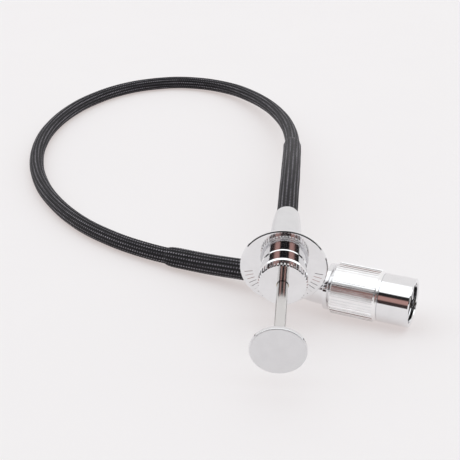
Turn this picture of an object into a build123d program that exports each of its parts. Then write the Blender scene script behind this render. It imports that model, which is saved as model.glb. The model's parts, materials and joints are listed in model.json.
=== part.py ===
from build123d import *
import math
import os

# Cable shutter release lying on a table in a loose loop. Millimetres, +Z up, table at z = 0.
# The handle points along -Y and dips towards its button. The screw connector lies beside it,
# level, turned a little from +X.

# ---- where the two ends lie ----
handle_x = -12.77
disc_front_y = 4.64
handle_height = 16.52
handle_dip = 5.5
connector_x = 1.48
connector_y = 11.06
connector_turn = 17.5

# ---- cable ----
cable_dia = 5.1
sheath_dia = 3.8
sheath_bore = 1.5
wire_dia = 1.2
relief_dia = 6.2
layer_gap = 0.1
arc_share = 0.45
wire_share = 0.47

# The loop's corners, measured from the disc's front centre, with real heights. The two straight
# ends of the route are added from the handle and the connector.
loop_corners = [
    (0.1, 56.7, 19.0),
    (-0.1, 79.0, 15.0),
    (-0.5, 102.5, 11.1),
    (-4.6, 128.0, 7.8),
    (-14.2, 152.9, 5.1),
    (-30.2, 172.8, 3.2),
    (-51.2, 179.2, 2.6),
    (-71.4, 171.5, 2.6),
    (-86.2, 154.4, 2.6),
    (-94.5, 131.8, 2.6),
    (-96.0, 107.5, 2.6),
    (-90.9, 83.2, 2.6),
    (-80.4, 62.0, 2.6),
    (-65.2, 43.9, 2.6),
    (-46.0, 31.0, 2.8),
    (-25.4, 22.1, 3.9),
]
handle_corner = -35.0
connector_corner = -18.9
handle_relief_corners = 3
connector_relief_corners = 2

# ---- handle, lengths along its axis from the disc's front face, forwards positive ----
disc_dia = 23.7
disc_thickness = 1.0
neck_dia = 12.1
neck_length = 4.3
neck_foot_dia = 12.5
neck_foot_length = 0.35
spigot_dia = 10.0
spigot_end = 6.9
tail_dia = 7.4
tail_end = -15.0
barrel_bore = 5.8
stop_web = 0.5
stop_back = 4.0
ring_dia = 13.24
ring_teeth = 46
ring_back = 4.4
ring_bead_edge = 0.1
ring_bead_crest = 4.6
ring_bead_fall = 0.25
ring_bead_front = 5.15
ring_knurl_back = 5.4
ring_front = 7.82
ring_cavity_end = 7.0
shaft_dia = 3.0
shaft_back = 1.5
button_dia = 14.3
button_face = 34.5
button_thickness = 1.3
button_boss_dia = 4.6
button_boss_length = 0.9
button_socket_depth = 0.7
piston_back = 0.9
piston_front = 3.9
seat_thickness = 1.0
ferrule_bore = 6.4
ferrule_end = -25.5
ferrule_parallel_end = -15.5
ferrule_dia = 8.7
ferrule_tip_dia = 7.1
crimp_length = 4.0
collet_pocket_dia = 5.2
collet_dia = 5.1
collet_slot = 0.4
tick_length = 2.2
tick_width = 0.28
tick_depth = 0.12
circlip_groove_back = 5.4
circlip_groove_front = 6.0
circlip_groove_depth = 0.5
circlip_play = 0.03
bulge_share = 0.72
ring_clip_gap = 4.0

# ---- connector, lengths along its axis from the knurled sleeve's rear, outwards positive ----
knurl_dia = 14.5
knurl_teeth = 44
sleeve_back = 0.1
knurl_end = 12.75
sleeve_front = 13.4
bell_dia = 13.6
bell_mouth = 22.2
bell_wall_front = 14.2
thread_dia = 11.3
thread_relief_dia = 11.9
thread_back = 16.0
core_dia = 8.8
core_nose_dia = 6.8
core_nose_back = 12.4
core_nose_end = 15.6
core_tail_dia = 7.8
core_tail_end = -9.0
flange_dia = 13.1
flange_front = -0.5
flange_back = -1.9
connector_ferrule_end = -14.5
connector_ferrule_dia = 10.9
connector_crimp_length = 3.0
bell_spigot_dia = 10.8
bell_spigot_back = 11.2
nose_groove_back = 14.3
nose_groove_front = 14.8
nose_groove_depth = 0.4
bell_clip_dia = 9.2
bell_clip_gap = 3.0
cable_end = -4.0
pin_chamber_back = -3.0
pin_chamber_dia = 4.4
pin_dia = 1.8
pin_tip = 15.9
pin_head_back = -2.8
pin_head_front = -0.8
pin_wire_back = -11.8
pin_wire_front = -1.2

# ---- fits ----
running_gap = 0.07
wire_end_length = 15.5

dip = math.radians(handle_dip)
handle_axis = (0.0, -math.cos(dip), -math.sin(dip))
handle_plane = Plane(
    origin=(handle_x, disc_front_y, handle_height), x_dir=(1, 0, 0), z_dir=handle_axis
)
turn = math.radians(connector_turn)
connector_axis = (math.cos(turn), -math.sin(turn), 0.0)
connector_plane = Plane(
    origin=(connector_x, connector_y, knurl_dia / 2), x_dir=(0, 0, -1), z_dir=connector_axis
)


def turned(outline):
    """A solid of revolution about local Z from (radius, height) corners."""
    corners = [(radius, 0, height) for radius, height in outline]
    return revolve(make_face(Polyline(*corners, close=True)), axis=Axis.Z)


def tube(outer_dia, bore_dia, low, high, edge=0.0):
    """A plain tube about local Z, with its outer edges chamfered by edge."""
    outer, inner = outer_dia / 2, bore_dia / 2
    if edge == 0.0:
        return turned([(inner, low), (outer, low), (outer, high), (inner, high)])
    return turned(
        [
            (inner, low),
            (outer - edge, low),
            (outer, low + edge),
            (outer, high - edge),
            (outer - edge, high),
            (inner, high),
        ]
    )


def rod(dia, low, high, edge=0.0):
    """A plain rod about local Z."""
    return tube(dia, 0, low, high, edge)


def toothed(dia, depth, count, low, high):
    """A straight-knurled rod: count ribs with flat crests and narrow valleys."""
    crest, root = dia / 2, dia / 2 - depth
    pitch = 2 * math.pi / count
    outline = []
    for tooth in range(count):
        start = tooth * pitch
        for share, radius in ((-0.26, crest), (0.26, crest), (0.40, root), (0.60, root)):
            angle = start + share * pitch
            outline.append((radius * math.cos(angle), radius * math.sin(angle), low))
    return extrude(make_face(Polyline(*outline, close=True)), amount=high - low)


def ogive_ferrule(parallel_dia, tip_dia, front, parallel_back, back):
    """The solid outside of a tapered ferrule: a parallel stretch, then a long convex taper."""
    wide, narrow = parallel_dia / 2, tip_dia / 2
    middle = parallel_back + 0.5 * (back - parallel_back)
    bulge = narrow + bulge_share * (wide - narrow)
    edge = 0.15
    outline = [
        Line((0, 0, front), (wide - edge, 0, front)),
        Line((wide - edge, 0, front), (wide, 0, front - edge)),
        Line((wide, 0, front - edge), (wide, 0, parallel_back)),
        ThreePointArc((wide, 0, parallel_back), (bulge, 0, middle), (narrow, 0, back + edge)),
        Line((narrow, 0, back + edge), (narrow - edge, 0, back)),
        Line((narrow - edge, 0, back), (0, 0, back)),
        Line((0, 0, back), (0, 0, front)),
    ]
    return revolve(make_face(outline), axis=Axis.Z)


# ---- handle pieces ----
def barrel():
    """Neck, front spigot, stop web and rear tube in one turned piece."""
    groove = spigot_dia / 2 - circlip_groove_depth
    pocket = collet_pocket_dia / 2
    return turned(
        [
            (pocket, spigot_end),
            (spigot_dia / 2 - 0.2, spigot_end),
            (spigot_dia / 2, spigot_end - 0.2),
            (spigot_dia / 2, circlip_groove_front),
            (groove, circlip_groove_front),
            (groove, circlip_groove_back),
            (spigot_dia / 2, circlip_groove_back),
            (spigot_dia / 2, neck_length),
            (neck_dia / 2 - 0.2, neck_length),
            (neck_dia / 2, neck_length - 0.2),
            (neck_dia / 2, neck_foot_length),
            (neck_foot_dia / 2, 0.1),
            (neck_foot_dia / 2, 0),
            (tail_dia / 2, 0),
            (tail_dia / 2, tail_end),
            (barrel_bore / 2, tail_end),
            (barrel_bore / 2, stop_back),
            (shaft_dia / 2 + running_gap, stop_back),
            (shaft_dia / 2 + running_gap, stop_back + stop_web),
            (pocket, stop_back + stop_web),
        ]
    )


def finger_disc():
    """Thin rimmed disc with three groups of engraved ticks on its front face."""
    disc = tube(disc_dia, tail_dia, -disc_thickness, 0, 0.25)
    tick = Pos(disc_dia / 2 - tick_length, 0, 0) * Box(tick_length, tick_width, 2 * tick_depth)
    for group in (90, 330, 210):
        for step in range(-3, 4):
            disc -= Rot(0, 0, group + 7 * step) * tick
    return disc


def lock_ring_bead():
    """The ring's smooth rear rim, as a solid: a small back chamfer and a sloped front."""
    radius = ring_dia / 2
    return turned(
        [
            (0, ring_back),
            (radius - ring_bead_edge, ring_back),
            (radius, ring_back + ring_bead_edge),
            (radius, ring_bead_crest),
            (radius - ring_bead_fall, ring_bead_front),
            (0, ring_bead_front),
        ]
    )


def lock_ring():
    """Ring that turns on the spigot: a smooth bead, a groove, a knurled band, a closed front."""
    bore = spigot_dia + 2 * running_gap
    groove = spigot_dia / 2 + circlip_groove_depth + 0.05
    knurl_depth = 0.3
    bead = lock_ring_bead()
    neck = rod(ring_dia - 3 * knurl_depth, ring_bead_front, ring_knurl_back)
    band = toothed(ring_dia, knurl_depth, ring_teeth, ring_knurl_back, ring_front)
    envelope = tube(ring_dia, 0, ring_knurl_back, ring_front, 0.25)
    hollow = turned(
        [
            (0, ring_back),
            (bore / 2, ring_back),
            (bore / 2, circlip_groove_back - 0.05),
            (groove, circlip_groove_back - 0.05),
            (groove, circlip_groove_front + 0.05),
            (bore / 2, circlip_groove_front + 0.05),
            (bore / 2, ring_cavity_end),
            (0, ring_cavity_end),
        ]
    )
    ring = bead + neck + (band & envelope)
    return ring - hollow - rod(shaft_dia + 0.3, ring_cavity_end, ring_front)


def ring_circlip():
    """Open snap ring that holds the lock ring on the spigot."""
    inner = spigot_dia - 2 * circlip_groove_depth + 2 * circlip_play
    outer = spigot_dia + 2 * circlip_groove_depth - 0.1
    low = circlip_groove_back + circlip_play
    high = circlip_groove_front - circlip_play
    opening = Box(outer / 2, ring_clip_gap, 2 * (high - low))
    return tube(outer, inner, low, high) - Pos(outer / 2, 0, (low + high) / 2) * opening


def lock_collet():
    """Split collet round the shaft, in the spigot's front pocket."""
    bottom = stop_back + stop_web
    collet = tube(collet_dia, shaft_dia + 2 * running_gap, bottom, spigot_end, 0.25)
    slot_bottom = bottom + 0.8
    slot = Box(collet_pocket_dia, collet_slot, 2 * (spigot_end - slot_bottom))
    for angle in (0, 60, 120):
        collet -= Rot(0, 0, angle) * Pos(0, 0, spigot_end) * slot
    return collet


def plunger_shaft():
    """Straight polished rod from the piston to the thumb button."""
    return rod(shaft_dia, shaft_back, button_face - button_socket_depth)


def thumb_button():
    """Flat round button with a rounded edge, a boss and a blind socket for the shaft."""
    radius, edge = button_dia / 2, 0.35
    back = button_face - button_thickness
    socket_bottom = button_face - button_socket_depth
    outline = [
        Line((0, 0, button_face), (radius - edge, 0, button_face)),
        ThreePointArc(
            (radius - edge, 0, button_face),
            (radius - 0.3 * edge, 0, button_face - 0.3 * edge),
            (radius, 0, button_face - edge),
        ),
        Line((radius, 0, button_face - edge), (radius, 0, back + edge)),
        ThreePointArc(
            (radius, 0, back + edge),
            (radius - 0.3 * edge, 0, back + 0.3 * edge),
            (radius - edge, 0, back),
        ),
        Line((radius - edge, 0, back), (button_boss_dia / 2, 0, back)),
        Line(
            (button_boss_dia / 2, 0, back),
            (button_boss_dia / 2, 0, back - button_boss_length),
        ),
        Line(
            (button_boss_dia / 2, 0, back - button_boss_length),
            (shaft_dia / 2, 0, back - button_boss_length),
        ),
        Line((shaft_dia / 2, 0, back - button_boss_length), (shaft_dia / 2, 0, socket_bottom)),
        Line((shaft_dia / 2, 0, socket_bottom), (0, 0, socket_bottom)),
        Line((0, 0, socket_bottom), (0, 0, button_face)),
    ]
    return revolve(make_face(outline), axis=Axis.Z)


def piston():
    """Brass clamp on the shaft's inner end; it also grips the drive wire."""
    return turned(
        [
            (wire_dia / 2, piston_back),
            (barrel_bore / 2 - running_gap, piston_back),
            (barrel_bore / 2 - running_gap, piston_front),
            (shaft_dia / 2, piston_front),
            (shaft_dia / 2, shaft_back),
            (wire_dia / 2, shaft_back),
        ]
    )


def return_spring():
    """Compression spring between the piston and the spring seat."""
    wire_radius, coil_radius, coils = 0.25, 2.3, 7
    low, high = tail_end + seat_thickness, piston_back
    height = high - low - 2 * wire_radius - 0.1
    coil = Helix(height / coils, height, coil_radius)
    spring = sweep(
        Plane(origin=coil @ 0, z_dir=coil % 0) * Circle(wire_radius), path=coil, is_frenet=True
    )
    return Pos(0, 0, low + wire_radius + 0.05) * spring


def spring_seat():
    """Brass washer at the barrel's end that the spring pushes on."""
    return tube(barrel_bore - 0.06, sheath_bore, tail_end, tail_end + seat_thickness)


def handle_ferrule():
    """Tapered ferrule that screws over the barrel's tail and clamps the disc."""
    outside = ogive_ferrule(
        ferrule_dia, ferrule_tip_dia, -disc_thickness, ferrule_parallel_end, ferrule_end
    )
    return outside - rod(tail_dia, tail_end, 0) - rod(ferrule_bore, ferrule_end - 1, tail_end)


def handle_crimp():
    """Brass crimp round the cable's end inside the handle ferrule."""
    return tube(ferrule_bore, cable_dia + layer_gap, tail_end - crimp_length, tail_end)


# ---- connector pieces ----
def connector_core():
    """The connector's fixed body: cable socket, pin chamber and nose with a circlip groove."""
    nose = core_nose_dia / 2
    return turned(
        [
            (cable_dia / 2 + layer_gap / 2, core_tail_end),
            (core_tail_dia / 2, core_tail_end),
            (core_tail_dia / 2, flange_front),
            (core_dia / 2, flange_front),
            (core_dia / 2, core_nose_back),
            (nose, core_nose_back),
            (nose, nose_groove_back),
            (nose - nose_groove_depth, nose_groove_back),
            (nose - nose_groove_depth, nose_groove_front),
            (nose, nose_groove_front),
            (nose, core_nose_end - 0.2),
            (nose - 0.2, core_nose_end),
            (pin_chamber_dia / 2, core_nose_end),
            (pin_chamber_dia / 2, pin_chamber_back),
            (sheath_bore / 2, pin_chamber_back),
            (sheath_bore / 2, cable_end),
            (cable_dia / 2 + layer_gap / 2, cable_end),
        ]
    )


def connector_ferrule():
    """Tapered ferrule with a smooth flange behind the knurled sleeve."""
    outside = ogive_ferrule(
        connector_ferrule_dia, ferrule_tip_dia, flange_back, flange_back - 1.2, connector_ferrule_end
    )
    flange = rod(flange_dia, flange_back, flange_front, 0.2)
    bore = rod(ferrule_bore, connector_ferrule_end - 1, core_tail_end)
    return outside + flange - rod(core_tail_dia, core_tail_end, 0) - bore


def connector_crimp():
    """Brass crimp round the cable inside the connector ferrule."""
    back = core_tail_end - connector_crimp_length
    return tube(ferrule_bore, cable_dia + layer_gap, back, core_tail_end)


def knurled_sleeve():
    """Straight-knurled grip that turns on the core and carries the bell."""
    bore = core_dia + 2 * running_gap
    sleeve = toothed(knurl_dia, 0.3, knurl_teeth, sleeve_back, knurl_end)
    sleeve += rod(knurl_dia - 0.5, knurl_end - 0.5, sleeve_front)
    envelope = turned(
        [
            (0, sleeve_back),
            (knurl_dia / 2 - 0.55, sleeve_back),
            (knurl_dia / 2, sleeve_back + 0.5),
            (knurl_dia / 2, knurl_end - 0.45),
            (knurl_dia / 2 - 0.45, knurl_end),
            (knurl_dia / 2 - 0.45, sleeve_front - 0.1),
            (knurl_dia / 2 - 0.55, sleeve_front),
            (0, sleeve_front),
        ]
    )
    socket = rod(bell_spigot_dia, bell_spigot_back, sleeve_front)
    return (sleeve & envelope) - rod(bore, sleeve_back, bell_spigot_back) - socket


def thread_bell():
    """Smooth bell with an internal thread land that screws over a camera's release collar."""
    outer = bell_dia / 2
    return turned(
        [
            (core_dia / 2 + running_gap, bell_spigot_back),
            (bell_spigot_dia / 2, bell_spigot_back),
            (bell_spigot_dia / 2, sleeve_front),
            (outer - 0.3, sleeve_front),
            (outer, sleeve_front + 0.3),
            (outer, bell_mouth - 0.25),
            (outer - 0.25, bell_mouth),
            (thread_dia / 2 + 0.3, bell_mouth),
            (thread_dia / 2, bell_mouth - 0.3),
            (thread_dia / 2, thread_back),
            (thread_relief_dia / 2, thread_back - 0.2),
            (thread_relief_dia / 2, bell_wall_front),
            (core_nose_dia / 2 + running_gap, bell_wall_front),
            (core_nose_dia / 2 + running_gap, core_nose_back + 0.1),
            (core_dia / 2 + running_gap, core_nose_back + 0.1),
        ]
    )


def bell_circlip():
    """Open snap ring on the core's nose that keeps the bell on."""
    inner = core_nose_dia - 2 * nose_groove_depth + 2 * circlip_play
    low = nose_groove_back + circlip_play
    high = nose_groove_front - circlip_play
    opening = Box(bell_clip_dia / 2, bell_clip_gap, 2 * (high - low))
    clip = tube(bell_clip_dia, inner, low, high)
    return clip - Pos(bell_clip_dia / 2, 0, (low + high) / 2) * opening


def pin_guide():
    """Brass bush in the core's nose that guides the release pin."""
    return tube(pin_chamber_dia, pin_dia + 2 * running_gap, core_nose_back, core_nose_end)


def release_pin():
    """Headed pin that comes out of the bell when the button is pressed."""
    head = pin_chamber_dia / 2 - running_gap
    shank = pin_dia / 2
    return turned(
        [
            (wire_dia / 2, pin_head_back),
            (head, pin_head_back),
            (head, pin_head_front),
            (shank, pin_head_front),
            (shank, pin_tip - 0.3),
            (shank - 0.3, pin_tip),
            (0, pin_tip),
            (0, pin_wire_front),
            (wire_dia / 2, pin_wire_front),
        ]
    )


# ---- cable ----
def along(plane, height):
    """The point on a piece's own axis at a height."""
    return plane.from_local_coords((0, 0, height))


def placed(corner):
    """A loop corner in the row frame."""
    return Vector(handle_x + corner[0], disc_front_y + corner[1], corner[2])


route = [along(handle_plane, tail_end), along(handle_plane, handle_corner)]
route += [placed(corner) for corner in loop_corners]
route += [along(connector_plane, connector_corner), along(connector_plane, cable_end)]


def run_lengths(points):
    return [(b - a).length for a, b in zip(points, points[1:])]


def corner_radii(points):
    """Each arc is as large as its two runs allow."""
    runs = run_lengths(points)
    radii = []
    for index in range(1, len(points) - 1):
        before = points[index] - points[index - 1]
        after = points[index + 1] - points[index]
        half_turn = math.radians(before.get_angle(after)) / 2
        radii.append(arc_share * min(runs[index - 1], runs[index]) / math.tan(half_turn))
    return radii


radii = corner_radii(route)


def swept(points, corner_list, outer_dia, bore_dia=0.0):
    """A round tube, or a solid cord, along straight runs joined by tangent arcs."""
    path = FilletPolyline(*points, radius=corner_list)
    section = Plane(origin=points[0], z_dir=points[1] - points[0]) * Circle(outer_dia / 2)
    body = sweep(section, path=path)
    if bore_dia > 0:
        hole = Plane(origin=points[0], z_dir=points[1] - points[0]) * Circle(bore_dia / 2)
        body -= sweep(hole, path=path)
    area = math.pi * (outer_dia**2 - bore_dia**2) / 4
    print("tube", outer_dia, "length", round(path.length, 1), "volume ratio", end=" ")
    print(round(body.volume / (area * path.length), 4))
    return body


def cable_jacket():
    return swept(route, radii, cable_dia, sheath_dia + layer_gap)


def cable_sheath():
    return swept(route, radii, sheath_dia, sheath_bore)


def inner_wire():
    """The flexible middle of the drive wire, between the two straight stretches."""
    first_run = (route[1] - route[0]).length
    start = route[1] + (route[0] - route[1]).normalized() * wire_share * first_run
    last_run = (route[-1] - route[-2]).length
    end = route[-2] + (route[-1] - route[-2]).normalized() * wire_share * last_run
    return swept([start] + route[1:-1] + [end], radii, wire_dia)


def handle_relief():
    """Thicker braided sleeve from the handle's crimp to the middle of a run."""
    count = handle_relief_corners
    start = along(handle_plane, tail_end - crimp_length)
    end = (route[count] + route[count + 1]) * 0.5
    points = [start] + route[1 : count + 1] + [end]
    return swept(points, radii[:count], relief_dia, cable_dia + layer_gap)


def connector_relief():
    """Thicker braided sleeve from the connector's crimp to the middle of a run."""
    count = connector_relief_corners
    start = along(connector_plane, core_tail_end - connector_crimp_length)
    end = (route[-count - 1] + route[-count - 2]) * 0.5
    points = [start] + route[-2 : -count - 2 : -1] + [end]
    return swept(points, radii[: -count - 1 : -1], relief_dia, cable_dia + layer_gap)


def handle_wire_end():
    """Straight stretch of the drive wire that moves with the piston."""
    return rod(wire_dia, shaft_back - wire_end_length, shaft_back)


def pin_wire_end():
    """Straight stretch of the drive wire that moves with the release pin."""
    return rod(wire_dia, pin_wire_back, pin_wire_front)


handle_pieces = [
    barrel,
    finger_disc,
    lock_ring,
    ring_circlip,
    lock_collet,
    plunger_shaft,
    thumb_button,
    piston,
    return_spring,
    spring_seat,
    handle_ferrule,
    handle_crimp,
    handle_wire_end,
]
connector_pieces = [
    connector_core,
    connector_ferrule,
    connector_crimp,
    knurled_sleeve,
    thread_bell,
    bell_circlip,
    pin_guide,
    release_pin,
    pin_wire_end,
]
cable_pieces = [cable_jacket, cable_sheath, inner_wire, handle_relief, connector_relief]

os.makedirs("parts", exist_ok=True)
print("corner radii", [round(radius) for radius in radii])
print("runs", [round(run, 1) for run in run_lengths(route)])
for make in handle_pieces:
    export_step(handle_plane.location * make(), "parts/" + make.__name__ + ".step")
for make in connector_pieces:
    export_step(connector_plane.location * make(), "parts/" + make.__name__ + ".step")
for make in cable_pieces:
    export_step(make(), "parts/" + make.__name__ + ".step")
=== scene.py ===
import json
import math

import bpy
import numpy as np
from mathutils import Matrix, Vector


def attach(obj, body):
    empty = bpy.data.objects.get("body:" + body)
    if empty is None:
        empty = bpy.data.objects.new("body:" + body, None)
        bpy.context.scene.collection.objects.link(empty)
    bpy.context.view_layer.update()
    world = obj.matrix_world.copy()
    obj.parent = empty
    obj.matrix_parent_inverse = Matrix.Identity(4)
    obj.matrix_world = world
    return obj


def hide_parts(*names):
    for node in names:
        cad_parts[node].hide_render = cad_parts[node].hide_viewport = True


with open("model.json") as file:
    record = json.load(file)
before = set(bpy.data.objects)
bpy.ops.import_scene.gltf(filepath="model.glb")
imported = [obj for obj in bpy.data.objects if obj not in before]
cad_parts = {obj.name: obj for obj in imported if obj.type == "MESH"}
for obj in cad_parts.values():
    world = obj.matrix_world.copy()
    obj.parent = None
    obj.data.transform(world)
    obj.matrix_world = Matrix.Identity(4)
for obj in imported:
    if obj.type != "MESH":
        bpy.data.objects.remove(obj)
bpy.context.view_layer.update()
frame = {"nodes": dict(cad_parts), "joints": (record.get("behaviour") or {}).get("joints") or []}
MM = 0.001
scene = bpy.context.scene


# ---------------------------------------------------------------- places taken from the frame
# How far the lock ring's middle lies in front of the disc's front face, in mm.
RING_MIDDLE_HEIGHT = 6.1


def joint(name):
    return next(j for j in frame["joints"] if j["name"] == name)


HANDLE_AXIS = Vector(joint("lock_ring_turn")["axis"])
RING_MIDDLE = Vector(joint("lock_ring_turn")["pos_m"])
DISC_FRONT = RING_MIDDLE - RING_MIDDLE_HEIGHT * MM * HANDLE_AXIS
KNURL_BACK = Vector(joint("connector_spin")["pos_m"])
CONNECTOR_AXIS = Vector(joint("connector_spin")["axis"])

CABLE_DIA = 5.1 * MM
RELIEF_DIA = 6.2 * MM
SHEATH_DIA = 3.8 * MM
WIRE_DIA = 1.2 * MM


# ---------------------------------------------------------------- camera
CAMERA_LENS = 79.25
CAMERA_PLACE = Vector((-7.52, -231.21, 155.96)) * MM
CAMERA_TILT = 61.51
CAMERA_TURN = 4.8

camera_data = bpy.data.cameras.new("camera")
camera_data.sensor_width = 36.0
camera_data.lens = CAMERA_LENS
camera_data.clip_start = 0.01
camera = bpy.data.objects.new("camera", camera_data)
camera.location = CAMERA_PLACE
camera.rotation_euler = (math.radians(CAMERA_TILT), 0, math.radians(CAMERA_TURN))
scene.collection.objects.link(camera)
scene.camera = camera


# ---------------------------------------------------------------- the cable's route
# Heights along the handle's or the connector's own axis, in mm.
BARREL_TAIL = -15.0
HANDLE_CORNER = -35.0
HANDLE_SLEEVE_START = -19.0
MIDDLE_WIRE_START = -25.6
CONNECTOR_CORNER = -18.9
CONNECTOR_SLEEVE_START = -12.0
MIDDLE_WIRE_END = -11.9
CABLE_END = -4.0
LINE_POINTS_PER_RUN = 48


def handle_point(height):
    """A point on the handle's axis, in mm forwards of the disc's front face."""
    return DISC_FRONT + height * MM * HANDLE_AXIS


def connector_point(height):
    """A point on the connector's axis, in mm forwards of the knurled sleeve's rear."""
    return KNURL_BACK + height * MM * CONNECTOR_AXIS


def loop_point(x, y, z):
    """A loop corner, in mm from the disc's front centre, with its real height."""
    return Vector((DISC_FRONT.x + x * MM, DISC_FRONT.y + y * MM, z * MM))


ROUTE = [
    handle_point(BARREL_TAIL),
    handle_point(HANDLE_CORNER),
    loop_point(0.1, 56.7, 19.0),
    loop_point(-0.1, 79.0, 15.0),
    loop_point(-0.5, 102.5, 11.1),
    loop_point(-4.6, 128.0, 7.8),
    loop_point(-14.2, 152.9, 5.1),
    loop_point(-30.2, 172.8, 3.2),
    loop_point(-51.2, 179.2, 2.6),
    loop_point(-71.4, 171.5, 2.6),
    loop_point(-86.2, 154.4, 2.6),
    loop_point(-94.5, 131.8, 2.6),
    loop_point(-96.0, 107.5, 2.6),
    loop_point(-90.9, 83.2, 2.6),
    loop_point(-80.4, 62.0, 2.6),
    loop_point(-65.2, 43.9, 2.6),
    loop_point(-46.0, 31.0, 2.8),
    loop_point(-25.4, 22.1, 3.9),
    connector_point(CONNECTOR_CORNER),
    connector_point(CABLE_END),
]
HANDLE_RELIEF_END = (ROUTE[3] + ROUTE[4]) / 2
CONNECTOR_RELIEF_END = (ROUTE[-3] + ROUTE[-4]) / 2


def route_line():
    """The smooth line of the cable: points read from one NURBS spline through the route."""
    data = bpy.data.curves.new("route", "CURVE")
    data.dimensions = "3D"
    spline = data.splines.new("NURBS")
    spline.points.add(len(ROUTE) - 1)
    for point, place in zip(spline.points, ROUTE):
        point.co = (*place, 1)
    spline.order_u = 3
    spline.use_endpoint_u = True
    spline.resolution_u = LINE_POINTS_PER_RUN
    curve = bpy.data.objects.new("route", data)
    mesh = bpy.data.meshes.new_from_object(curve)
    points = np.array([vertex.co for vertex in mesh.vertices])
    bpy.data.objects.remove(curve)
    bpy.data.meshes.remove(mesh)
    bpy.data.curves.remove(data)
    return points


LINE = route_line()
STEPS = np.linalg.norm(np.diff(LINE, axis=0), axis=1)
STATIONS = np.concatenate([[0.0], np.cumsum(STEPS)])
CABLE_LENGTH = float(STATIONS[-1])


def station(place):
    """How far along the cable the point nearest to a place lies."""
    return float(STATIONS[np.argmin(np.linalg.norm(LINE - np.array(place), axis=1))])


def frames_along(stations):
    """Places on the cable's line, with two directions across it that don't twist."""
    places = np.stack([np.interp(stations, STATIONS, LINE[:, axis]) for axis in range(3)], axis=1)
    tangents = np.gradient(places, axis=0)
    tangents /= np.linalg.norm(tangents, axis=1, keepdims=True)
    side = np.cross(tangents[0], (0.0, 0.0, 1.0))
    sides = []
    for tangent in tangents:
        side = side - tangent * np.dot(side, tangent)
        side /= np.linalg.norm(side)
        sides.append(side)
    sides = np.array(sides)
    return places, sides, np.cross(sides, tangents)


# ---------------------------------------------------------------- mesh helpers
# A tube's bore is smooth, so it takes one ring for this many rings of its outside.
BORE_STEP = 20


def piece(name, vertices, faces, painted_crest_light=None):
    """A smooth-shaded mesh object, with an optional painted crest light on each vertex."""
    mesh = bpy.data.meshes.new(name)
    mesh.from_pydata([tuple(v) for v in vertices], [], faces)
    mesh.polygons.foreach_set("use_smooth", [True] * len(mesh.polygons))
    if painted_crest_light is not None:
        layer = mesh.attributes.new("painted_crest_light", "FLOAT", "POINT")
        layer.data.foreach_set("value", np.asarray(painted_crest_light, dtype=np.float32))
    mesh.update()
    made = bpy.data.objects.new(name, mesh)
    scene.collection.objects.link(made)
    return made


def band(low, high, around):
    """Quads between two rings of vertices that start at low and at high."""
    pairs = [(side, (side + 1) % around) for side in range(around)]
    return [(low + side, low + after, high + after, high + side) for side, after in pairs]


def wall(rings, around):
    """Quads between neighbouring rings."""
    faces = []
    for ring in range(rings - 1):
        faces += band(ring * around, (ring + 1) * around, around)
    return faces


def caps(rings, around):
    """A cap on each end ring."""
    last = (rings - 1) * around
    return [tuple(range(around))[::-1], tuple(range(last, last + around))]


def skin(name, stations, around, surface, bore=0.0):
    """A closed tube or cord along the cable. surface(angle, station) gives radius and the painted crest
    light kept on each vertex.
    """
    places, sides, ups = frames_along(stations)
    angles = np.arange(around) * 2 * math.pi / around
    radius, shade = surface(angles[None, :], stations[:, None])
    across = (
        np.cos(angles)[None, :, None] * sides[:, None, :]
        + np.sin(angles)[None, :, None] * ups[:, None, :]
    )
    outside = (places[:, None, :] + radius[:, :, None] * across).reshape(-1, 3)
    shades = (shade + 0 * radius).reshape(-1)
    faces = wall(len(stations), around)
    if bore == 0.0:
        return piece(name, outside, faces + caps(len(stations), around), shades)
    last = (len(stations) - 1) * around
    inner = np.unique(np.append(np.arange(0, len(stations), BORE_STEP), len(stations) - 1))
    inside = (places[inner, None, :] + 0.5 * bore * across[inner]).reshape(-1, 3)
    first_in = last + around
    last_in = first_in + (len(inner) - 1) * around
    for low in range(first_in, last_in, around):
        faces += band(low + around, low, around)
    faces += band(first_in, 0, around)
    faces += band(last, last_in, around)
    shades = np.concatenate([shades, np.zeros(len(inside))])
    return piece(name, np.concatenate([outside, inside]), faces, shades)


# ---------------------------------------------------------------- the braid
CABLE_RIBS = 14
SLEEVE_RIBS = 16
STITCH = 0.9 * MM
STITCH_SLANT = 0.3
STITCH_HEIGHT = 0.32
RIB_DEPTH = 0.34 * MM
RIB_ROUNDNESS = 2.4
RIB_SAMPLES = 6
RINGS_PER_STITCH = 4
# Width and between-stitch strength of the painted highlight along each rib's crest.
CREST_HIGHLIGHT_WIDTH = 0.55
CREST_HIGHLIGHT_BETWEEN_STITCHES = 0.07
# How unevenly strong the painted crest highlight is along the cable.
HIGHLIGHT_UNEVENNESS = 0.14
WANDER = 0.03 * MM
TAPER = 4.0 * MM
STEP_ABOVE_CABLE = 0.05 * MM
JACKET_BORE = 3.9 * MM
SLEEVE_BORE = 4.4 * MM
SHEATH_BORE = 1.9 * MM


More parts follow.
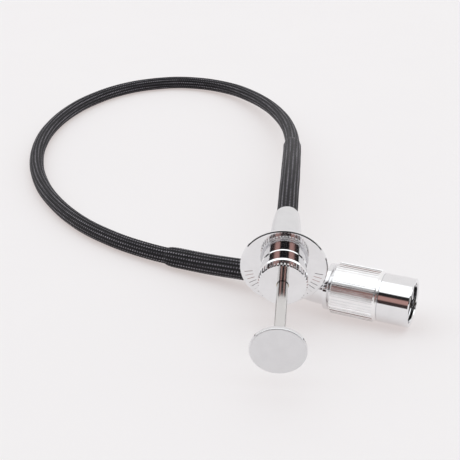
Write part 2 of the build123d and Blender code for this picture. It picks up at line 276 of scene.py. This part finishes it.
def braid(outer_radius, ribs):
    """The braid's radius and painted crest light: lengthwise ribs, each a row of V-shaped stitches,
    with a painted highlight along each rib's crest.
    """

    def surface(angle, place):
        turn = angle * ribs / (2 * math.pi)
        across = 2 * (turn - np.floor(turn)) - 1
        odd = np.floor(turn) % 2
        rib = 1 - np.abs(across) ** RIB_ROUNDNESS
        phase = place / STITCH + 0.5 * odd - STITCH_SLANT * np.abs(across)
        stitch = 0.5 + 0.5 * np.cos(2 * math.pi * phase)
        height = rib * (1 - STITCH_HEIGHT + STITCH_HEIGHT * stitch)
        light = CREST_HIGHLIGHT_BETWEEN_STITCHES + (1 - CREST_HIGHLIGHT_BETWEEN_STITCHES) * stitch
        # A painted highlight along each rib's crest, brightest on the stitches and unevenly strong
        # along the cable.
        crest_highlight = np.exp(-((across / CREST_HIGHLIGHT_WIDTH) ** 2)) * light
        uneven = 1 - HIGHLIGHT_UNEVENNESS + HIGHLIGHT_UNEVENNESS * np.sin(place * 171 + 2.3 * np.floor(turn))
        wander = WANDER * np.sin(place * 310) * np.cos(angle + place * 90)
        return outer_radius - RIB_DEPTH * (1 - height) + wander, crest_highlight * uneven

    return surface


def sleeve(outer_radius, ribs, thin_end):
    """A braided sleeve whose thin_end, a station, tapers down to the cable."""
    woven = braid(outer_radius, ribs)

    def surface(angle, place):
        radius, shade = woven(angle, place)
        left = np.clip(np.abs(place - thin_end) / TAPER, 0, 1)
        step = outer_radius - CABLE_DIA / 2 - STEP_ABOVE_CABLE
        return radius - step * (1 - np.sqrt(1 - (1 - left) ** 2)), shade

    return surface


def even_stations(start, end, spacing):
    return np.linspace(start, end, max(int(abs(end - start) / spacing), 2))


ring_gap = STITCH / RINGS_PER_STITCH
jacket = skin(
    "braided_jacket",
    even_stations(0.0, CABLE_LENGTH, ring_gap),
    CABLE_RIBS * RIB_SAMPLES,
    braid(CABLE_DIA / 2, CABLE_RIBS),
    JACKET_BORE,
)
handle_end = station(HANDLE_RELIEF_END)
handle_sleeve = skin(
    "braided_handle_sleeve",
    even_stations(station(handle_point(HANDLE_SLEEVE_START)), handle_end, ring_gap),
    SLEEVE_RIBS * RIB_SAMPLES,
    sleeve(RELIEF_DIA / 2, SLEEVE_RIBS, handle_end),
    SLEEVE_BORE,
)
connector_end = station(CONNECTOR_RELIEF_END)
connector_sleeve = skin(
    "braided_connector_sleeve",
    even_stations(connector_end, station(connector_point(CONNECTOR_SLEEVE_START)), ring_gap),
    SLEEVE_RIBS * RIB_SAMPLES,
    sleeve(RELIEF_DIA / 2, SLEEVE_RIBS, connector_end),
    SLEEVE_BORE,
)


# ---------------------------------------------------------------- inside the cable
SPIRAL_PITCH = 1.5 * MM
SPIRAL_DEPTH = 0.16 * MM
SPIRAL_SPACING = 0.5 * MM
STRAND_LAY = 1.3 * MM
STRAND_DEPTH = 0.1 * MM
STRAND_SPACING = 0.6 * MM
INNER_SIDES = 12


def spiral(angle, place):
    """The close-wound steel sheath: a helical ridge."""
    ridge = np.abs(np.sin(math.pi * place / SPIRAL_PITCH + angle / 2))
    return SHEATH_DIA / 2 - SPIRAL_DEPTH * (1 - ridge), ridge


def strands(angle, place):
    """The drive wire: a rope with six strands showing."""
    lobe = np.abs(np.cos(3 * angle + place / STRAND_LAY))
    return WIRE_DIA / 2 - STRAND_DEPTH * (1 - lobe), lobe


sheath_stations = even_stations(0.0, CABLE_LENGTH, SPIRAL_SPACING)
sheath = skin("spiral_sheath", sheath_stations, INNER_SIDES, spiral, SHEATH_BORE)
wire_start = station(handle_point(MIDDLE_WIRE_START))
wire_end = station(connector_point(MIDDLE_WIRE_END))
wire_stations = even_stations(wire_start, wire_end, STRAND_SPACING)
drive_wire = skin("drive_wire_middle", wire_stations, INNER_SIDES, strands)

CORD_PIECES = [
    (jacket, "black_braid", "cable_jacket"),
    (handle_sleeve, "black_braid", "handle_relief"),
    (connector_sleeve, "black_braid", "connector_relief"),
    (sheath, "spring_steel", "cable_sheath"),
    (drive_wire, "drive_wire", "inner_wire"),
]
for made, slot_name, node in CORD_PIECES:
    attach(made, "release_body")
    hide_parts(node)


# ---------------------------------------------------------------- the bell's thread
# In mm: heights along the connector's axis, radii and half widths of the ridge.
THREAD_START = 16.3
THREAD_END = 21.5
THREAD_PITCH = 0.8
THREAD_ROOT = 5.71
THREAD_CREST = 5.27
ROOT_HALF_WIDTH = 0.3
CREST_HALF_WIDTH = 0.06
STEPS_PER_TURN = 48
FADE_STEPS = 12


def across_axis(axis):
    """Two directions square to an axis."""
    side = axis.cross(Vector((0, 0, 1))).normalized()
    return side, side.cross(axis)


def thread_ridge():
    """A helical ridge on the bell's thread land, with narrow flat crests that fade at both ends."""
    side, up = across_axis(CONNECTOR_AXIS)
    count = int((THREAD_END - THREAD_START) / THREAD_PITCH * STEPS_PER_TURN)
    vertices = []
    for step in range(count + 1):
        angle = 2 * math.pi * step / STEPS_PER_TURN
        middle = THREAD_START + THREAD_PITCH * step / STEPS_PER_TURN
        outwards = math.cos(angle) * side + math.sin(angle) * up
        fade = min(1.0, step / FADE_STEPS, (count - step) / FADE_STEPS)
        depth = THREAD_ROOT - (THREAD_ROOT - THREAD_CREST) * fade
        section = (
            (THREAD_ROOT, -ROOT_HALF_WIDTH),
            (depth, -CREST_HALF_WIDTH),
            (depth, CREST_HALF_WIDTH),
            (THREAD_ROOT, ROOT_HALF_WIDTH),
        )
        for radius, shift in section:
            vertices.append(connector_point(middle + shift) + radius * MM * outwards)
    made = piece("thread_ridge", vertices, wall(count + 1, 4) + caps(count + 1, 4))
    for polygon in made.data.polygons:
        polygon.use_smooth = False
    return made


thread = thread_ridge()
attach(thread, "screw_connector")


# ---------------------------------------------------------------- shader helpers
def math_node(tree, operation, first, second):
    """One arithmetic node on two sockets or numbers."""
    made = tree.nodes.new("ShaderNodeMath")
    made.operation = operation
    for socket, value in zip(made.inputs, (first, second)):
        if isinstance(value, (int, float)):
            socket.default_value = value
        else:
            tree.links.new(value, socket)
    return made.outputs[0]


def ramp_node(tree, value, stops):
    """A colour ramp from (position, colour) stops."""
    made = tree.nodes.new("ShaderNodeValToRGB")
    elements = made.color_ramp.elements
    while len(elements) < len(stops):
        elements.new(0.5)
    for element, (position, colour) in zip(elements, stops):
        element.position = position
        element.color = (*colour, 1)
    tree.links.new(value, made.inputs["Fac"])
    return made.outputs["Color"]


class Nodes:
    """A material with short ways to add and join its shader nodes."""

    def __init__(self, material):
        self.material = material
        self.material.use_nodes = True
        self.tree = self.material.node_tree
        self.shader = self.tree.nodes["Principled BSDF"]
        self.place = self.add("ShaderNodeTexCoord").outputs["Object"]

    def add(self, kind, **settings):
        made = self.tree.nodes.new(kind)
        for key, value in settings.items():
            setattr(made, key, value)
        return made

    def join(self, source, target):
        self.tree.links.new(source, target)

    def math(self, operation, first, second):
        return math_node(self.tree, operation, first, second)

    def vector(self, operation, first, second):
        """One vector node; its result is a number for lengths and dot products."""
        made = self.add("ShaderNodeVectorMath", operation=operation)
        self.join(first, made.inputs[0])
        if second is not None:
            made.inputs[1].default_value = second
        return made.outputs["Value" if operation in ("LENGTH", "DOT_PRODUCT") else "Vector"]

    def noise(self, scale, detail=3.0, roughness=0.6, place=None):
        made = self.add("ShaderNodeTexNoise")
        made.inputs["Scale"].default_value = scale
        made.inputs["Detail"].default_value = detail
        made.inputs["Roughness"].default_value = roughness
        self.join(self.place if place is None else place, made.inputs["Vector"])
        return made.outputs["Fac"]

    def ramp(self, value, stops):
        return ramp_node(self.tree, value, stops)

    def bump(self, height, strength, distance):
        made = self.add("ShaderNodeBump")
        made.inputs["Strength"].default_value = strength
        made.inputs["Distance"].default_value = distance
        self.join(height, made.inputs["Height"])
        self.join(made.outputs["Normal"], self.shader.inputs["Normal"])


LATHE_SCALE = 4200
SMUDGE_SCALE = 330
DIRT_SCALE = 1500
COLOUR_DRIFT = 0.033
LEAST_ROUGHNESS = 0.03
SATIN_ROUGHENING = 0.34
BUTTON_FACE_FROM = 34.3


def lathe_marks(nodes, origin, axis):
    """Fine rings round an axis, as a tool leaves on turned metal."""
    from_axis = nodes.vector("SUBTRACT", nodes.place, tuple(origin))
    distance = nodes.vector("LENGTH", nodes.vector("CROSS_PRODUCT", from_axis, tuple(axis)), None)
    height = nodes.vector("DOT_PRODUCT", from_axis, tuple(axis))
    both = nodes.add("ShaderNodeCombineXYZ")
    nodes.join(distance, both.inputs["X"])
    nodes.join(height, both.inputs["Y"])
    return nodes.noise(LATHE_SCALE, 4.0, 0.7, both.outputs["Vector"])


def metal(name, colour, rough, origin_and_axis, marks, spots=0.05):
    """Turned metal: lathe rings, soft handling marks and a slight colour drift."""
    nodes = Nodes(bpy.data.materials.new(name))
    rings = lathe_marks(nodes, *origin_and_axis)
    smudge = nodes.noise(SMUDGE_SCALE, 4.0)
    dirt = nodes.noise(DIRT_SCALE, 2.0)
    dark = tuple(channel * (1 - COLOUR_DRIFT) for channel in colour)
    drift = nodes.ramp(smudge, [(0.36, dark), (0.62, colour)])
    nodes.join(drift, nodes.shader.inputs["Base Color"])
    marked = nodes.math("MULTIPLY", rings, marks)
    uneven = nodes.math("ADD", marked, nodes.math("MULTIPLY", dirt, spots))
    spread = nodes.math("MULTIPLY", smudge, spots)
    total = nodes.math("ADD", nodes.math("ADD", uneven, spread), rough - 0.5 * (marks + 2 * spots))
    nodes.join(nodes.math("MAXIMUM", total, LEAST_ROUGHNESS), nodes.shader.inputs["Roughness"])
    nodes.shader.inputs["Metallic"].default_value = 1.0
    nodes.bump(rings, 0.10 + marks, 0.00002)
    return nodes.material


def satin_face(material, height):
    """Roughens a handle metal on the face in front of a height, in mm along the axis."""
    nodes = Nodes(material)
    from_disc = nodes.vector("SUBTRACT", nodes.place, tuple(DISC_FRONT))
    forwards = nodes.vector("DOT_PRODUCT", from_disc, tuple(HANDLE_AXIS))
    on_face = nodes.math("GREATER_THAN", forwards, height * MM)
    polished = nodes.shader.inputs["Roughness"].links[0].from_socket
    rougher = nodes.math("ADD", polished, nodes.math("MULTIPLY", on_face, SATIN_ROUGHENING))
    nodes.join(rougher, nodes.shader.inputs["Roughness"])
    return material


def wound_steel():
    """Drawn wire: lengthwise streaks and dark oil in the hollows."""
    nodes = Nodes(bpy.data.materials.new("wound_steel"))
    streaks = nodes.noise(2600, 5.0)
    nodes.join(
        nodes.ramp(streaks, [(0.3, (0.22, 0.22, 0.23)), (0.7, (0.62, 0.62, 0.64))]),
        nodes.shader.inputs["Base Color"],
    )
    nodes.join(nodes.math("MULTIPLY", streaks, 0.6), nodes.shader.inputs["Roughness"])
    nodes.shader.inputs["Metallic"].default_value = 1.0
    nodes.bump(streaks, 0.2, 0.00003)
    return nodes.material


def braided_thread():
    """Charcoal waxed thread with fibres and dust, a painted highlight on the rib crests and painted
    shade in the hollows.
    """
    nodes = Nodes(bpy.data.materials.new("braid"))
    painted_crest_light = nodes.add("ShaderNodeAttribute", attribute_name="painted_crest_light").outputs["Fac"]
    fibres = nodes.noise(5200, 3.0, 0.7)
    dust = nodes.noise(420, 3.0)
    fibre_shade = nodes.math("MULTIPLY", nodes.math("SUBTRACT", fibres, 0.5), 0.7)
    dust_shade = nodes.math("MULTIPLY", nodes.math("SUBTRACT", dust, 0.5), 0.35)
    toned = nodes.math("ADD", nodes.math("ADD", painted_crest_light, fibre_shade), dust_shade)
    # Low values, in the hollows between ribs, are painted shade; high values, on the rib crests, are
    # painted highlight.
    stops = [
        (0.12, (0.0030, 0.0026, 0.0042)),
        (0.34, (0.0100, 0.0085, 0.0130)),
        (0.54, (0.100, 0.093, 0.112)),
        (0.85, (0.430, 0.412, 0.452)),
    ]
    nodes.join(nodes.ramp(toned, stops), nodes.shader.inputs["Base Color"])
    nodes.join(
        nodes.math("ADD", nodes.math("MULTIPLY", fibres, 0.3), 0.38),
        nodes.shader.inputs["Roughness"],
    )
    nodes.shader.inputs["Specular IOR Level"].default_value = 0.3
    nodes.shader.inputs["Sheen Weight"].default_value = 0.04
    nodes.shader.inputs["Sheen Roughness"].default_value = 0.4
    nodes.bump(fibres, 0.5, 0.00006)
    return nodes.material


def glowing_pale_floor():
    """A plain white table that glows warm light of its own, painted light that keeps its shadows pale
    and warm.
    """
    nodes = Nodes(bpy.data.materials.new("glowing_pale_floor"))
    cloud = nodes.noise(14, 3.0)
    nodes.join(
        nodes.ramp(cloud, [(0.3, (0.395, 0.437, 0.458)), (0.7, (0.405, 0.447, 0.468))]),
        nodes.shader.inputs["Base Color"],
    )
    # Painted light: a warm glow of the floor itself, which fills the shadows on it.
    nodes.shader.inputs["Emission Color"].default_value = (1.0, 0.885, 0.855, 1.0)
    nodes.shader.inputs["Emission Strength"].default_value = 0.5
    nodes.shader.inputs["Roughness"].default_value = 0.75
    nodes.shader.inputs["Specular IOR Level"].default_value = 0.2
    return nodes.material


CHROME = (0.86, 0.86, 0.87)
SATIN = (0.80, 0.80, 0.81)
STEEL = (0.74, 0.73, 0.72)
BRASS = (0.80, 0.60, 0.28)
BRIGHT_CHROME = (0.97, 0.97, 0.975)
ON_HANDLE = (DISC_FRONT, HANDLE_AXIS)
ON_CONNECTOR = (KNURL_BACK, CONNECTOR_AXIS)
FINISHES = {
    "chrome_handle": metal("chrome_handle", CHROME, 0.07, ON_HANDLE, 0.05),
    "chrome_connector": metal("chrome_connector", CHROME, 0.07, ON_CONNECTOR, 0.05),
    "satin_chrome": metal("satin_chrome", SATIN, 0.34, ON_HANDLE, 0.16),
    "knurled_chrome": metal("knurled_chrome", BRIGHT_CHROME, 0.22, ON_CONNECTOR, 0.03, 0.02),
    "button_chrome": satin_face(metal("button_chrome", SATIN, 0.10, ON_HANDLE, 0.10), BUTTON_FACE_FROM),
    "polished_steel": metal("polished_steel", STEEL, 0.20, ON_HANDLE, 0.12),
    "pin_steel": metal("pin_steel", STEEL, 0.12, ON_CONNECTOR, 0.08),
    "brass_handle": metal("brass_handle", BRASS, 0.26, ON_HANDLE, 0.14),
    "brass_connector": metal("brass_connector", BRASS, 0.26, ON_CONNECTOR, 0.14),
    "wound_steel": wound_steel(),
    "braid": braided_thread(),
}
NODE_FINISHES = {
    "barrel": "chrome_handle",
    "finger_disc": "chrome_handle",
    "lock_ring": "chrome_handle",
    "thumb_button": "button_chrome",
    "handle_ferrule": "satin_chrome",
    "connector_ferrule": "chrome_connector",
    "connector_core": "chrome_connector",
    "knurled_sleeve": "knurled_chrome",
    "thread_bell": "chrome_connector",
    "plunger_shaft": "polished_steel",
    "release_pin": "pin_steel",
    "ring_circlip": "wound_steel",
    "bell_circlip": "wound_steel",
    "return_spring": "wound_steel",
    "lock_collet": "brass_handle",
    "piston": "brass_handle",
    "spring_seat": "brass_handle",
    "handle_crimp": "brass_handle",
    "connector_crimp": "brass_connector",
    "pin_guide": "brass_connector",
    "handle_wire_end": "wound_steel",
    "pin_wire_end": "wound_steel",
}
for node, finish in NODE_FINISHES.items():
    for material_slot in frame["nodes"][node].material_slots:
        material_slot.material = FINISHES[finish]
PIECE_FINISHES = [
    (jacket, "braid"),
    (handle_sleeve, "braid"),
    (connector_sleeve, "braid"),
    (sheath, "wound_steel"),
    (drive_wire, "wound_steel"),
    (thread, "chrome_connector"),
]
for made, finish in PIECE_FINISHES:
    made.data.materials.append(FINISHES[finish])


# ---------------------------------------------------------------- floor and studio
FLOOR_SIDE = 3.0
FLOOR_BACK = 4.0
FLOOR_FRONT = -3.0
floor_corners = [
    (-FLOOR_SIDE, FLOOR_FRONT, 0),
    (FLOOR_SIDE, FLOOR_FRONT, 0),
    (FLOOR_SIDE, FLOOR_BACK, 0),
    (-FLOOR_SIDE, FLOOR_BACK, 0),
]
floor = piece("floor", floor_corners, [(0, 1, 2, 3)])
floor.data.materials.append(glowing_pale_floor())


def azimuth_share(degrees):
    """Where an azimuth, from the front towards +X, lies on the front's colour ramp."""
    return 0.5 + degrees / 360


BACKDROP = (0.60, 0.59, 0.59)
SOFTBOX = (0.98, 1.00, 1.01)
BLACK = (0.010, 0.010, 0.011)
BROWN = (0.100, 0.034, 0.026)
ROSE = (0.300, 0.175, 0.158)
# Positions run over the top, from the back's horizon at 0 to the front's at 1.
OVERHEAD_BANDS = [
    (0.00, BACKDROP),
    (0.37, BACKDROP),
    (0.41, SOFTBOX),
    (0.67, SOFTBOX),
    (0.70, BACKDROP),
]
FRONT_BANDS = [
    (azimuth_share(-95), BACKDROP),
    (azimuth_share(-72), BLACK),
    (azimuth_share(-62), BLACK),
    (azimuth_share(-55), BROWN),
    (azimuth_share(-38), BROWN),
    (azimuth_share(-34), BLACK),
    (azimuth_share(-31), ROSE),
    (azimuth_share(-17), ROSE),
    (azimuth_share(-14), BLACK),
    (azimuth_share(14), BLACK),
    (azimuth_share(17), ROSE),
    (azimuth_share(31), ROSE),
    (azimuth_share(34), BLACK),
    (azimuth_share(62), BLACK),
    (azimuth_share(85), BACKDROP),
]
FRONT_MASK = [
    (0.68, (0, 0, 0)),
    (0.70, (1, 1, 1)),
]
TONE_MASK = [
    (0.77, (0.02, 0.02, 0.02)),
    (0.80, (1, 1, 1)),
    (0.885, (1, 1, 1)),
    (0.915, (0.08, 0.08, 0.08)),
]
WORLD_STRENGTH = 1.46


def studio_world():
    """A soft studio: pale backdrop, a softbox overhead, a dark room with warm tones in front."""
    world = bpy.data.worlds.new("studio")
    world.use_nodes = True
    tree = world.node_tree
    background = tree.nodes["Background"]
    place = tree.nodes.new("ShaderNodeTexCoord").outputs["Generated"]
    split = tree.nodes.new("ShaderNodeSeparateXYZ")
    tree.links.new(place, split.inputs[0])
    over = math_node(tree, "ARCTAN2", split.outputs["Z"], split.outputs["Y"])
    over = math_node(tree, "DIVIDE", over, math.pi)
    forwards = math_node(tree, "MULTIPLY", split.outputs["Y"], -1.0)
    azimuth = math_node(tree, "ARCTAN2", split.outputs["X"], forwards)
    azimuth = math_node(tree, "DIVIDE", azimuth, 2 * math.pi)
    azimuth = math_node(tree, "ADD", azimuth, 0.5)
    studio = ramp_node(tree, over, OVERHEAD_BANDS)
    room = ramp_node(tree, azimuth, FRONT_BANDS)
    tone = ramp_node(tree, over, TONE_MASK)
    front = ramp_node(tree, over, FRONT_MASK)
    shaded = tree.nodes.new("ShaderNodeMix")
    shaded.data_type = "RGBA"
    shaded.inputs[6].default_value = (*BLACK, 1)
    tree.links.new(tone, shaded.inputs[0])
    tree.links.new(room, shaded.inputs[7])
    whole = tree.nodes.new("ShaderNodeMix")
    whole.data_type = "RGBA"
    tree.links.new(front, whole.inputs[0])
    tree.links.new(studio, whole.inputs[6])
    tree.links.new(shaded.outputs[2], whole.inputs[7])
    tree.links.new(whole.outputs[2], background.inputs["Color"])
    background.inputs["Strength"].default_value = WORLD_STRENGTH
    return world


scene.world = studio_world()
scene.view_settings.view_transform = "Standard"
